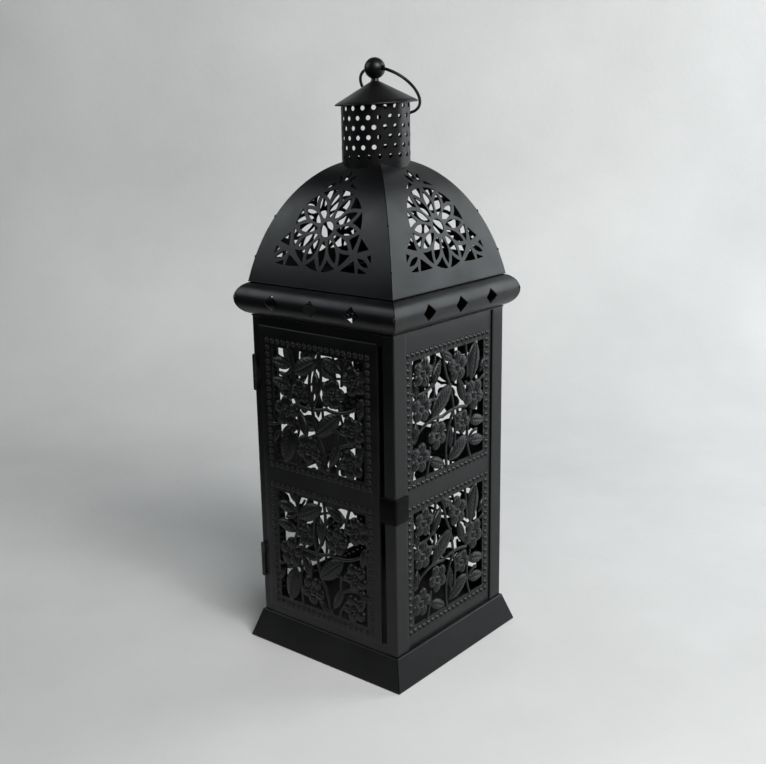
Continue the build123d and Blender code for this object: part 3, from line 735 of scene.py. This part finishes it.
def bare_steel(name):
    """Dull hinge steel under a thin coat of paint."""
    material = paint(name, (0.01, 0.01, 0.011), (0.02, 0.02, 0.019), (0.35, 0.5), 1.0, 0.3)
    material.node_tree.nodes["Principled BSDF"].inputs["Metallic"].default_value = 0.35
    return material


def studio_paper(name, pale, deep):
    """Pale matt cloth of the floor and wall, a little uneven."""
    material = bpy.data.materials.new(name)
    material.use_nodes = True
    tree = material.node_tree
    shader = tree.nodes["Principled BSDF"]
    where = tree.nodes.new("ShaderNodeTexCoord").outputs["Object"]
    colour = ramp(tree, noise(tree, where, 3.0, 6.0, 0.6), ((0.3, deep), (0.7, pale)))
    tree.links.new(colour, shader.inputs["Base Color"])
    shader.inputs["Roughness"].default_value = 0.9
    bump = mix_value(tree, "ShaderNodeBump", Height=noise(tree, where, 160.0, 6.0), Strength=0.2)
    bump.inputs["Distance"].default_value = 0.001
    tree.links.new(bump.outputs["Normal"], shader.inputs["Normal"])
    return material


BLACK = paint("black_satin_paint", (0.0024, 0.0025, 0.0029), (0.0045, 0.0046, 0.0052), (0.3, 0.42), 0.6, 0.5)
INSIDE = paint("black_paint_inside", (0.003, 0.003, 0.003), (0.005, 0.005, 0.005), (0.45, 0.6), 0.2, 0.5)
WELD = paint("painted_weld", (0.005, 0.005, 0.005), (0.01, 0.0096, 0.0092), (0.3, 0.5), 0.3, 0.8)
# Same black paint as the body, with a darker colour and less shine: the darker colour is painted shade for
# the latch strap, whose tilted return lies in shade.
SHADED_LATCH_PAINT = paint("latch_paint_darkened_for_shade", (0.0015,) * 3, (0.003,) * 3, (0.3, 0.4), 0.6, 0.5, 0.06)
STEEL = bare_steel("hinge_steel")


def make_panels():
    """Right, back and left sides."""
    side_half = PANEL_HALF
    for step, side in enumerate(SIDES[1:], start=1):
        half = BACK_PANEL_HALF if side == "back" else side_half
        box = (-half, half, BASE_TOP, BODY_TOP)
        sheet_with_windows(
            f"panel_{side}", "root", PANEL_FACE, step, box, SIDE_WINDOW_X, False, SHEET, BLACK
        )


def make_door():
    """Front door with the die the other way up."""
    box = (DOOR_LEFT, DOOR_RIGHT, DOOR_BOTTOM, DOOR_TOP)
    sheet_with_windows("door_panel", "door", DOOR_FACE, 0, box, DOOR_WINDOW_X, True, PLATE, BLACK)


def bent_strip(name, body, corners, bottom, top, bend, edge, material):
    """Upright strip bent in plan, its long edges rounded."""
    path = Path(rounded_path(corners, bend))

    def relief(s, t):
        distance = np.minimum(np.minimum(s, path.length - s), np.minimum(t - bottom, top - t))
        return rounded_edge(distance, edge)

    s_lines = merged(edge_lines(0, path.length, edge), path.at, spaced(0, path.length, 2.0))
    t_lines = merged(edge_lines(bottom, top, edge), spaced(bottom, top, 6.0))
    place = upright_place(path)
    return sheet(name, body, (s_lines, t_lines), place, PLATE, material, relief, [name])


def make_posts():
    """Four angle posts; the front ones have narrow front legs."""
    b = BODY_HALF
    legs = {
        "post_front_left": ((-b, -b + SIDE_LEG), (-b, -b), (-b + FRONT_LEG, -b)),
        "post_front_right": ((b - FRONT_LEG, -b), (b, -b), (b, -b + SIDE_LEG)),
        "post_back_right": ((b, b - SIDE_LEG), (b, b), (b - SIDE_LEG, b)),
        "post_back_left": ((-b + SIDE_LEG, b), (-b, b), (-b, b - SIDE_LEG)),
    }
    for name, corners in legs.items():
        bent_strip(name, "root", corners, BASE_TOP, BODY_TOP, 1.3, 0.3, BLACK)


def make_front_strips():
    """Sill and header between the front posts."""
    half = BODY_HALF - FRONT_LEG
    for name in ("front_sill", "front_header"):
        bottom, top = low(name).z, high(name).z
        corners = ((-half, -BODY_HALF), (0, -BODY_HALF), (half, -BODY_HALF))
        path = Path(corners)
        lines = (spaced(0, path.length, 4.0), spaced(bottom, top, 1.5))
        sheet(name, "root", lines, upright_place(path), SHEET, BLACK, None, [name])


def make_latch():
    """Strap folded round the front right post."""
    corners = ((DOOR_RIGHT, -DOOR_FACE), (LATCH_OUT, -DOOR_FACE), (LATCH_OUT, LATCH_END))
    # The strap gets the darker copy of the body paint, which is painted shade.
    bent_strip("latch_strap", "door", corners, LATCH_BOTTOM, LATCH_TOP, 1.9, 0.4, SHADED_LATCH_PAINT)


def make_floor_plate():
    """Square plate in the bottom."""
    half = high("floor_plate").x
    top = high("floor_plate").z

    def place(s, t, h):
        return np.stack([s, t, top + h], 1)

    def relief(s, t):
        return rounded_edge(half - np.maximum(np.abs(s), np.abs(t)), 0.3)

    lines = merged(edge_lines(-half, half, 0.3), spaced(-half, half, 6.0))
    sheet("floor_plate", "root", (lines, lines), place, SHEET, INSIDE, relief, ["floor_plate"])


# ---------------------------------------------------------------- mitred sides
def mitred_side(name, path, step, s_step, t_lines, thickness, field=None):
    """One side of a square shape, cut back to its mitres; s is a share of the half width."""

    def across(s, t):
        half = path.point(t)[0]
        return s * (half - SEAM), half

    def place(s, t, h):
        half, z = path.point(t)
        out, up = path.normal(t)
        moved = half + out * h
        gap = SEAM * np.clip(1 + h / thickness, 0, 1)
        return turned(np.stack([s * (moved - gap), -moved, z + up * h], 1), step)

    widest = path.points[:, 0].max()
    count = int(2 * widest / s_step) // 2 * 2
    s_lines = np.linspace(-1, 1, count + 1)
    wanted = {}
    if field is not None:
        wanted["field"] = lambda s, t: field(*across(s, t), t)
    return sheet(name, "root", (s_lines, t_lines), place, thickness, BLACK, None, [name], **wanted)


def make_base():
    """Flared skirt in four folded strips."""
    section = rounded_path(
        (
            (BASE_HALF - BASE_HEM, 0.0),
            (BASE_HALF, 0.0),
            (BASE_TOP_HALF, BASE_TOP),
            (BASE_LIP_HALF, BASE_TOP),
        ),
        0.9,
    )
    path = Path(section)
    t_lines = merged(path.at, spaced(0, path.length, 2.5))
    for step, side in enumerate(SIDES):
        mitred_side(f"base_{side}", path, step, 3.0, t_lines, SHEET)


DIAMOND_WIDTH = 12.8
DIAMOND_HEIGHT = 11.0
DIAMOND_PITCH = 34.0


def make_cornice():
    """Half-round roll in four strips with diamond holes."""
    centre = (CORNICE_AXIS_HALF, CORNICE_BOTTOM + CORNICE_RADIUS)
    angles = np.linspace(-math.pi / 2, math.pi / 2, 73)
    roll = np.stack(
        [centre[0] + CORNICE_RADIUS * np.cos(angles), centre[1] + CORNICE_RADIUS * np.sin(angles)], 1
    )
    section = [(CORNICE_FLANGE_HALF, CORNICE_BOTTOM), *roll, (CORNICE_FLANGE_HALF, CORNICE_TOP)]
    path = Path(section)

    def field(x, half, t):
        z = path.point(t)[1]
        from_middle = np.abs(np.abs(x) - np.where(np.abs(x) > DIAMOND_PITCH / 2, DIAMOND_PITCH, 0))
        diamond = from_middle / (DIAMOND_WIDTH / 2) + np.abs(z - centre[1]) / (DIAMOND_HEIGHT / 2)
        flange = half < CORNICE_AXIS_HALF + CORNICE_RADIUS / 2
        return np.where(flange, 1.0, 4.2 * (diamond - 1))

    t_lines = merged(path.at, spaced(0, path.length, 0.6))
    for step, side in enumerate(SIDES):
        mitred_side(f"cornice_{side}", path, step, 0.6, t_lines, SHEET, field)


def make_dome():
    """Four pierced curved panels meeting at thin seams."""
    foot = math.asin((DOME_BASE - DOME_ELLIPSE_Z) / DOME_ELLIPSE_B)
    top = math.acos((DOME_TOP_HALF - DOME_ELLIPSE_W) / DOME_ELLIPSE_A)
    angles = np.linspace(foot, top, 241)
    w = DOME_ELLIPSE_W + DOME_ELLIPSE_A * np.cos(angles)
    z = DOME_ELLIPSE_Z + DOME_ELLIPSE_B * np.sin(angles)
    path = Path(np.stack([w, z], 1))

    def field(x, half, t):
        round_chimney = np.hypot(x, half) - CHIMNEY_RADIUS - 0.1
        return np.minimum(dome_field(x, t), round_chimney)

    t_lines = spaced(0, path.length, 0.52)
    for step, side in enumerate(SIDES):
        mitred_side(f"dome_{side}", path, step, 0.52, t_lines, SHEET, field)


def square_sweep(name, profile, material):
    """Closed profile of (half width, height) points swept round a square."""
    points = []
    for side_x, side_y in ((-1, -1), (1, -1), (1, 1), (-1, 1)):
        points += [(side_x * half, side_y * half, z) for half, z in profile]
    count = len(profile)
    faces = []
    for k in range(4):
        here, after = k * count, (k + 1) % 4 * count
        for j in range(count):
            nxt = (j + 1) % count
            faces.append((here + j, after + j, after + nxt, here + nxt))
    return new_piece(name, points, faces, "root", material, [name])


def plate_profile(inner, outer, bottom, top, edge):
    """Flat strip's section with its outer edges rounded."""
    points = [(inner, bottom), (outer - edge, bottom)]
    for k in range(1, 6):
        angle = -math.pi / 2 + k * math.pi / 6
        middle = bottom + edge if angle < 0 else top - edge
        points.append((outer - edge + edge * math.cos(angle), middle + edge * math.sin(angle)))
    points += [(outer - edge, top), (inner, top)]
    return points


def make_frames():
    """Flat frames under and over the cornice."""
    opening = 48.0
    for name, outer in (("top_frame", TOP_FRAME_HALF), ("crown_frame", CROWN_HALF)):
        profile = plate_profile(opening, outer, low(name).z, high(name).z, 0.35)
        square_sweep(name, profile, BLACK)


# ---------------------------------------------------------------- chimney, cap, ball and ring
CHIMNEY_OPENING = (125.0, 215.0)
CHIMNEY_OPENING_FOOT = 340.5
CHIMNEY_ROWS = 6
CHIMNEY_HOLE_STEP = 18.6
CHIMNEY_HOLE_RADIUS = 1.5
CHIMNEY_FIRST_HOLE = -137.3
CHIMNEY_FIRST_ROW = 338.6
CHIMNEY_ROW_PITCH = 6.12
CHIMNEY_HOLE_MARGIN = 6.0
CAP_NECK = 2.5
RING_RADIUS = 21.4
RING_WIRE = 1.0
RING_LEAN = 43.0
RING_BOW = 0.55
RING_HOLE = 1.65
LEAN = math.radians(2.6)
LEAN_LOW_SIDE = math.radians(219.4)


def cap_z(radius):
    """Height of the cap's top surface."""
    tip = CAP_TOP_Z + (CAP_TOP_Z - CAP_RIM_Z - PLATE) * CAP_NECK / (CAP_RADIUS - CAP_NECK)
    rim = CAP_RIM_Z + PLATE
    return tip - (tip - rim) * radius / CAP_RADIUS


def make_chimney():
    """Rolled strip with rows of holes a little out of level and a tall opening on one side."""
    opening_start, opening_end = CHIMNEY_OPENING
    first = (opening_start + opening_end) / 2 - 360
    bearings = np.radians(np.linspace(first, first + 360, 361))
    path = Path(np.stack([CHIMNEY_RADIUS * np.cos(bearings), CHIMNEY_RADIUS * np.sin(bearings)], 1))
    top = cap_z(CHIMNEY_RADIUS) - PLATE
    upright = upright_place(path)

    def place(s, t, h):
        points = upright(s, t, h)
        low_side = points[:, 0] * math.cos(LEAN_LOW_SIDE) + points[:, 1] * math.sin(LEAN_LOW_SIDE)
        points[:, 2] -= low_side * math.tan(LEAN)
        return points

    def field(s, t):
        bearing = first + s / path.length * 360
        row = np.clip(np.round((t - CHIMNEY_FIRST_ROW) / CHIMNEY_ROW_PITCH), 0, CHIMNEY_ROWS - 1)
        start = CHIMNEY_FIRST_HOLE + row % 2 * CHIMNEY_HOLE_STEP / 2
        nearest = start + np.round((bearing - start) / CHIMNEY_HOLE_STEP) * CHIMNEY_HOLE_STEP
        rise = t - CHIMNEY_FIRST_ROW - row * CHIMNEY_ROW_PITCH
        away = np.hypot(np.radians(bearing - nearest) * CHIMNEY_RADIUS, rise)
        clear_start = opening_end - 360 + CHIMNEY_HOLE_MARGIN
        clear_end = opening_start - CHIMNEY_HOLE_MARGIN
        real = (row == 0) | ((nearest > clear_start) & (nearest < clear_end))
        solid = np.where(real, away - CHIMNEY_HOLE_RADIUS, 9.0)
        from_side = np.maximum(opening_end - 360 - bearing, bearing - opening_start)
        in_opening = np.minimum(np.radians(from_side) * CHIMNEY_RADIUS, t - CHIMNEY_OPENING_FOOT)
        return np.minimum(solid, -in_opening)

    lines = (spaced(0, path.length, 0.4), spaced(CHIMNEY_BOTTOM, top, 0.4))
    sheet("chimney", "root", lines, place, 0.6, BLACK, None, ["chimney"], field=field)


def make_cap():
    """Shallow cone with a rounded rim, leaning with the chimney."""
    tip = cap_z(CAP_NECK)
    outer = [(0.0, 0.0), (CAP_NECK, 0.0)]
    outer += [(r, cap_z(r) - tip) for r in np.linspace(CAP_NECK + 1, CAP_RADIUS - 0.5, 12)]
    rim = CAP_RIM_Z - tip
    outer += [(CAP_RADIUS - 0.12, rim + PLATE - 0.1), (CAP_RADIUS, rim + PLATE / 2)]
    outer += [(CAP_RADIUS - 0.12, rim + 0.1), (CAP_RADIUS - 0.5, rim)]
    inner = [(r, cap_z(r) - PLATE - tip) for r in np.linspace(CAP_RADIUS - 1.0, CAP_NECK, 10)]
    profile = outer + inner + [(0.0, -PLATE)]
    axis = (
        math.sin(LEAN) * math.cos(LEAN_LOW_SIDE),
        math.sin(LEAN) * math.sin(LEAN_LOW_SIDE),
        math.cos(LEAN),
    )
    revolved("cone_cap", "root", profile, (0, 0, tip), axis, BLACK, ["cone_cap"], 120)


def make_ball():
    """Turned ball with a cross hole for the ring, on a neck."""
    bore = RING_HOLE
    start = math.asin(bore / BALL_RADIUS) + 0.06
    profile = []
    for k in range(41):
        angle = start + (math.pi - 2 * start) * k / 40
        profile.append((BALL_RADIUS * math.sin(angle), -BALL_RADIUS * math.cos(angle)))
    end = profile[-1][1]
    profile += [(bore + 0.1, end - 0.15), (bore, end - 0.5), (bore, -end + 0.5), (bore + 0.1, -end + 0.15)]
    revolved("finial_ball", "root", profile, (0, 0, BALL_Z), (1, 0, 0), BLACK, ["finial_ball"], 72, 50)
    foot = cap_z(CAP_NECK)
    neck = [(0.0, foot - 0.3), (CAP_NECK + 0.5, foot - 0.3), (CAP_NECK + 0.2, foot + 0.1)]
    neck += [(CAP_NECK, foot + 0.5)]
    neck += [(CAP_NECK, BALL_Z - 4.5), (0.0, BALL_Z - 4.5)]
    revolved("finial_neck", "root", neck, (0, 0, 0), (0, 0, 1), BLACK, ["finial_ball"], 48)


def make_ring():
    """Round wire ring through the ball, its two ends meeting at a hairline joint."""
    lean = math.radians(RING_LEAN)
    reach = RING_RADIUS - RING_BOW
    centre = Vector((0, reach * math.cos(lean), BALL_Z - reach * math.sin(lean)))
    out = Vector((0, -math.cos(lean), math.sin(lean)))
    side = Vector((1, 0, 0))
    normal = out.cross(side)
    around, about = 240, 20
    points = []
    for k in range(around):
        angle = 2 * math.pi * k / around
        direction = out * math.cos(angle) + side * math.sin(angle)
        joint = 0.12 * math.exp(-(((angle - math.pi) / 0.02) ** 2))
        for j in range(about):
            turn = 2 * math.pi * j / about
            offset = direction * math.cos(turn) + normal * math.sin(turn)
            points.append(centre + direction * RING_RADIUS + offset * (RING_WIRE - joint))
    faces = []
    for k in range(around):
        here, after = k * about, (k + 1) % around * about
        for j in range(about):
            nxt = (j + 1) % about
            faces.append((here + j, here + nxt, after + nxt, after + j))
    piece = new_piece("hanging_ring", points, faces, "ring", BLACK, ["hanging_ring"])
    tidy_poles(piece)


def make_welds():
    """Lumpy beads of weld on the hips and the cornice's mitres."""
    rng = np.random.default_rng(7)
    points = []
    faces = []
    spots = []
    foot = math.asin((DOME_BASE - DOME_ELLIPSE_Z) / DOME_ELLIPSE_B)
    top = math.acos((DOME_TOP_HALF - DOME_ELLIPSE_W) / DOME_ELLIPSE_A)
    angles = np.linspace(foot, top, 241)
    w = DOME_ELLIPSE_W + DOME_ELLIPSE_A * np.cos(angles)
    z = DOME_ELLIPSE_Z + DOME_ELLIPSE_B * np.sin(angles)
    path = Path(np.stack([w, z], 1))
    for side_x, side_y in ((-1, -1), (1, -1), (1, 1), (-1, 1)):
        for up in (16.0, 44.0):
            half, height = path.point(up)
            spots.append((side_x * (half - 0.35), side_y * (half - 0.35), height, 0.8))
        edge = CORNICE_AXIS_HALF + CORNICE_RADIUS - 0.9
        spots.append((side_x * edge, side_y * edge, CORNICE_BOTTOM + CORNICE_RADIUS + 1.0, 1.3))
    for x, y, height, size in spots:
        start = len(points)
        phase = rng.uniform(0, 2 * math.pi, 6)
        rings, spokes = 12, 18
        for a in range(rings + 1):
            tilt = math.pi * a / rings
            for b in range(spokes):
                turn = 2 * math.pi * b / spokes
                lump = 1 + 0.12 * math.sin(3 * turn + phase[0]) * math.sin(2 * tilt + phase[1])
                lump += 0.1 * math.sin(2 * turn + phase[2]) * math.sin(3 * tilt + phase[3])
                r = size * lump
                points.append(
                    (
                        x + r * math.sin(tilt) * math.cos(turn),
                        y + r * math.sin(tilt) * math.sin(turn),
                        height + 1.25 * r * math.cos(tilt),
                    )
                )
        for a in range(rings):
            for b in range(spokes):
                c = (b + 1) % spokes
                here, below = start + a * spokes, start + (a + 1) * spokes
                faces.append((here + b, below + b, below + c, here + c))
    piece = new_piece("tack_welds", points, faces, "root", WELD, ["tack_welds"])
    tidy_poles(piece)


def finish_hinges():
    """Hinge pieces straight from the frame, their edges softened."""
    for level in HINGE_NODES:
        for part in ("frame_knuckles", "door_leaf", "pin"):
            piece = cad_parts[f"hinge_{level}_{part}"]
            soften = piece.modifiers.new("soften", "BEVEL")
            soften.width = 0.00015
            soften.segments = 2
            soften.angle_limit = math.radians(40)
            piece.data.materials.clear()
            piece.data.materials.append(STEEL if part == "pin" else BLACK)


# ---------------------------------------------------------------- stage
def cloth_sheet(name, columns, profile, material):
    """Cloth from columns (place along the camera's right at the front, at the wall) by a profile."""
    azimuth = math.radians(CAMERA_AZIMUTH)
    back = Vector((-math.sin(azimuth), math.cos(azimuth), 0))
    right = Vector((math.cos(azimuth), math.sin(azimuth), 0))
    nearest, farthest = profile[0][0], profile[-1][0]
    points = []
    for at_front, at_wall in columns:
        for depth, height in profile:
            share = (depth - nearest) / (farthest - nearest)
            across = at_front + (at_wall - at_front) * share
            points.append(right * across + back * depth + Vector((0, 0, height)))
    rows = len(profile)
    faces = []
    for k in range(len(columns) - 1):
        for j in range(rows - 1):
            a = k * rows + j
            faces.append((a, a + rows, a + rows + 1, a + 1))
    mesh = bpy.data.meshes.new(name)
    mesh.from_pydata([tuple(p) for p in points], [], faces)
    mesh.polygons.foreach_set("use_smooth", [True] * len(mesh.polygons))
    mesh.materials.append(material)
    cloth = bpy.data.objects.new(name, mesh)
    bpy.context.scene.collection.objects.link(cloth)
    return cloth


def make_stage():
    """Pale cloth on the floor, sweeping up into a wall; a wider floor that only the camera sees."""
    material = studio_paper("pale_cloth", (0.74, 0.745, 0.74), (0.62, 0.625, 0.62))
    bend = 0.3
    wall = 0.75
    profile = [(d, 0.0) for d in np.linspace(-0.42, wall - bend, 12)]
    for k in range(1, 13):
        angle = math.pi / 2 * k / 12
        profile.append((wall - bend + bend * math.sin(angle), bend - bend * math.cos(angle)))
    profile.append((wall, 1.05))
    columns = [(-0.24, -0.62), (0.0, -0.2), (0.3, 0.2), (0.6, 0.6), (1.0, 1.1), (1.5, 1.6)]
    cloth_sheet("sweep", columns, profile, material)
    wide = [(-4.0, -4.0), (0.0, 0.0), (4.0, 4.0)]
    outer = cloth_sheet("outer_floor", wide, [(-4.0, -0.0006), (0.7, -0.0006)], material)
    outer.visible_glossy = False
    outer.visible_diffuse = False


def area_light(name, place, target, size, power, colour=(1.0, 1.0, 1.0)):
    """Soft rectangular light aimed at a point, all in metres."""
    lamp = bpy.data.lights.new(name, "AREA")
    lamp.shape = "RECTANGLE"
    lamp.size, lamp.size_y = size
    lamp.energy = power
    lamp.color = colour
    light = bpy.data.objects.new(name, lamp)
    light.location = place
    light.rotation_mode = "QUATERNION"
    light.rotation_quaternion = (Vector(target) - Vector(place)).to_track_quat("-Z", "Y")
    bpy.context.scene.collection.objects.link(light)
    return light


COOL = (0.9, 0.97, 1.0)


def make_lights():
    """Soft key from the right, a box behind to the right, a dim glossy lamp to the left, a dim room."""
    middle = (0, 0, 0.2)
    area_light("key", (1.3, -0.6, 1.3), middle, (1.0, 1.0), 24.5)
    area_light("back_box", (0.8, 1.25, 0.7), middle, (0.9, 1.1), 12, COOL)
    area_light("wall_wash", (1.2, -0.05, 1.15), (0.3, 0.95, 0.42), (0.6, 0.6), 12)
    lamp = area_light("lamp", (-1.3, -0.9, 1.08), (0, 0, 0.28), (0.8, 0.95), 7.5, COOL)
    lamp.visible_diffuse = False
    world = bpy.data.worlds.new("room")
    world.use_nodes = True
    tree = world.node_tree
    seen = tree.nodes.new("ShaderNodeLightPath").outputs["Is Camera Ray"]
    colour = mixed(tree, seen, (0.03, 0.031, 0.034), (0.5, 0.5, 0.5))
    tree.links.new(colour, tree.nodes["Background"].inputs["Color"])
    bpy.context.scene.world = world


def make_camera():
    """Camera in front and to the right of the lantern, a little above it, tipped by a degree."""
    azimuth = math.radians(CAMERA_AZIMUTH)
    pitch = math.radians(CAMERA_PITCH)
    right = Vector((math.cos(azimuth), math.sin(azimuth), 0))
    back = Vector(
        (
            math.sin(azimuth) * math.cos(pitch),
            -math.cos(azimuth) * math.cos(pitch),
            math.sin(pitch),
        )
    )
    up = back.cross(right)
    tipped_right = right * math.cos(CAMERA_ROLL) + up * math.sin(CAMERA_ROLL)
    tipped_up = up * math.cos(CAMERA_ROLL) - right * math.sin(CAMERA_ROLL)
    lens = bpy.data.cameras.new("camera")
    lens.sensor_width = 36.0
    lens.lens = CAMERA_LENS
    lens.clip_start = 0.01
    camera = bpy.data.objects.new("camera", lens)
    axes = Matrix((tipped_right, tipped_up, back)).transposed().to_4x4()
    aim = Vector((0, 0, CAMERA_AIM_HEIGHT)) + right * CAMERA_SHIFT
    axes.translation = aim + back * CAMERA_DISTANCE
    camera.matrix_world = axes
    bpy.context.scene.collection.objects.link(camera)
    bpy.context.scene.camera = camera


# ---------------------------------------------------------------- build
make_panels()
make_door()
make_posts()
make_front_strips()
make_latch()
make_floor_plate()
make_base()
make_cornice()
make_dome()
make_frames()
make_chimney()
make_cap()
make_ball()
make_ring()
make_welds()
finish_hinges()
make_stage()
make_lights()
make_camera()
bpy.context.scene.view_settings.view_transform = "Standard"
